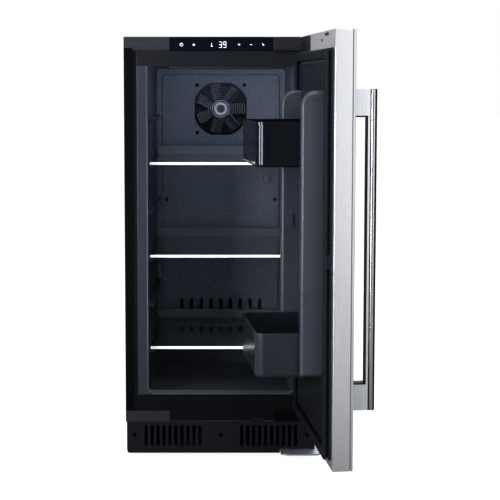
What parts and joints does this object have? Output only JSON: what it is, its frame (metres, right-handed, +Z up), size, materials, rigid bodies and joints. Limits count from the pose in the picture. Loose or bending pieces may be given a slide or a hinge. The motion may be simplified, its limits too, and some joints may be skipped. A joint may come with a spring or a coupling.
{
  "type": "mini fridge",
  "caption": "Under-counter mini fridge: black cabinet with glass shelves, rear fan, touch panel and slotted kick plate, and a hinged stainless door with a bar handle and lift-off bins.",
  "frame": {"origin": "on the floor under the middle of the cabinet's footprint, without the open door", "axes": "+Z up, the cabinet faces -Y, +X towards the hinge side of the door"},
  "size_m": [0.4456, 0.923, 0.825],
  "materials": {
    "cabinet_paint": "satin black paint",
    "zinc_steel": "matte zinc plate",
    "liner_plastic": "satin moulded black",
    "trim_plastic": "fine satin black",
    "touch_panel": "gloss blue-black",
    "board": "matte green",
    "lamp_diffuser": "frosted white",
    "foam": "matte foam",
    "shelf_glass": "clear toughened",
    "bright_trim": "polished",
    "grey_trim": "satin grey",
    "air_panel_plastic": "stippled slate grey",
    "fan_plastic": "matte black",
    "coil_aluminium": "mill finish",
    "copper": "drawn copper",
    "machine_black": "gloss black enamel",
    "grommet_rubber": "matte",
    "tray_plastic": "plain moulded",
    "gland_plastic": "matte black",
    "dark_screw": "black oxide",
    "bright_pin": "plated",
    "bush_plastic": "natural acetal",
    "stainless": "fine brushed",
    "polished_steel": "satin polish",
    "gasket_rubber": "soft satin black",
    "bin_plastic": "gloss black"
  },
  "bodies": {
    "cabinet": {"cabinet_wrapper": "cabinet_paint", "rear_panel": "zinc_steel", "base_pan": "cabinet_paint", "bottom_deck": "zinc_steel", "insulation_foam": "foam", "inner_liner": "liner_plastic", "top_fascia": "trim_plastic", "control_housing": "trim_plastic", "control_board": "board", "control_panel": "touch_panel", "hinge_hole_covers": "trim_plastic", "interior_lamp": "lamp_diffuser", "kick_plate": "cabinet_paint", "cabinet_screws": "dark_screw", "shelf_front_trims": "bright_trim", "shelf_rear_trims": "grey_trim", "lower_shelf_glass": "shelf_glass", "middle_shelf_glass": "shelf_glass", "upper_shelf_glass": "shelf_glass", "air_panel": "air_panel_plastic", "air_panel_screws": "dark_screw", "fan_grille": "air_panel_plastic", "evaporator_fan_frame": "fan_plastic", "thermistor": "grey_trim", "evaporator": "coil_aluminium", "drain_trough": "tray_plastic", "drain_tube": "tray_plastic", "compressor": "machine_black", "compressor_grommets": "grommet_rubber", "relay_box": "gland_plastic", "drip_tray": "tray_plastic", "condenser": "machine_black", "condenser_fan_frame": "fan_plastic", "filter_drier": "copper", "refrigerant_lines": "copper", "rear_access_cover": "cabinet_paint", "power_inlet": "gland_plastic", "floor_plate": "zinc_steel", "upper_hinge_bracket": "zinc_steel", "upper_hinge_cover": "trim_plastic", "lower_hinge_bracket": "cabinet_paint", "hinge_pins": "bright_pin"},
    "door": {"door_front_panel": "stainless", "door_frame": "stainless", "door_foam": "foam", "door_liner": "liner_plastic", "door_gasket": "gasket_rubber", "handle_bracket": "stainless", "handle_bar": "polished_steel", "handle_screws": "zinc_steel", "hinge_bushes": "bush_plastic"},
    "upper_bin": {"upper_bin": "bin_plastic"},
    "lower_bin": {"lower_bin": "bin_plastic"},
    "evaporator_fan": {"evaporator_fan_rotor": "fan_plastic"},
    "condenser_fan": {"condenser_fan_rotor": "fan_plastic"},
    "front_left_leg": {"front_left_leg": "zinc_steel"},
    "front_right_leg": {"front_right_leg": "zinc_steel"},
    "rear_left_leg": {"rear_left_leg": "zinc_steel"},
    "rear_right_leg": {"rear_right_leg": "zinc_steel"}
  },
  "joints": [
    {"name": "door_hinge", "type": "hinge", "parent": "cabinet", "child": "door", "pos_m": [0.176, -0.297, 0.45], "axis": [0, 0, 1], "range_deg": [-95.2, 19.8]},
    {"name": "upper_bin_lift", "type": "slide", "parent": "door", "child": "upper_bin", "axis": [0, 0, 1], "range_m": [0, 0.03]},
    {"name": "lower_bin_lift", "type": "slide", "parent": "door", "child": "lower_bin", "axis": [0, 0, 1], "range_m": [0, 0.03]},
    {"name": "evaporator_fan_spin", "type": "hinge", "parent": "cabinet", "child": "evaporator_fan", "pos_m": [0, 0.155, 0.68], "axis": [0, 1, 0], "continuous": true},
    {"name": "condenser_fan_spin", "type": "hinge", "parent": "cabinet", "child": "condenser_fan", "pos_m": [-0.082, 0.1625, 0.078], "axis": [1, 0, 0], "continuous": true},
    {"name": "front_left_leg_screw", "type": "slide", "parent": "cabinet", "child": "front_left_leg", "axis": [0, 0, -1], "range_m": [0, 0.012]},
    {"name": "front_right_leg_screw", "type": "slide", "parent": "cabinet", "child": "front_right_leg", "axis": [0, 0, -1], "range_m": [0, 0.012]},
    {"name": "rear_left_leg_screw", "type": "slide", "parent": "cabinet", "child": "rear_left_leg", "axis": [0, 0, -1], "range_m": [0, 0.012]},
    {"name": "rear_right_leg_screw", "type": "slide", "parent": "cabinet", "child": "rear_right_leg", "axis": [0, 0, -1], "range_m": [0, 0.012]}
  ]
}
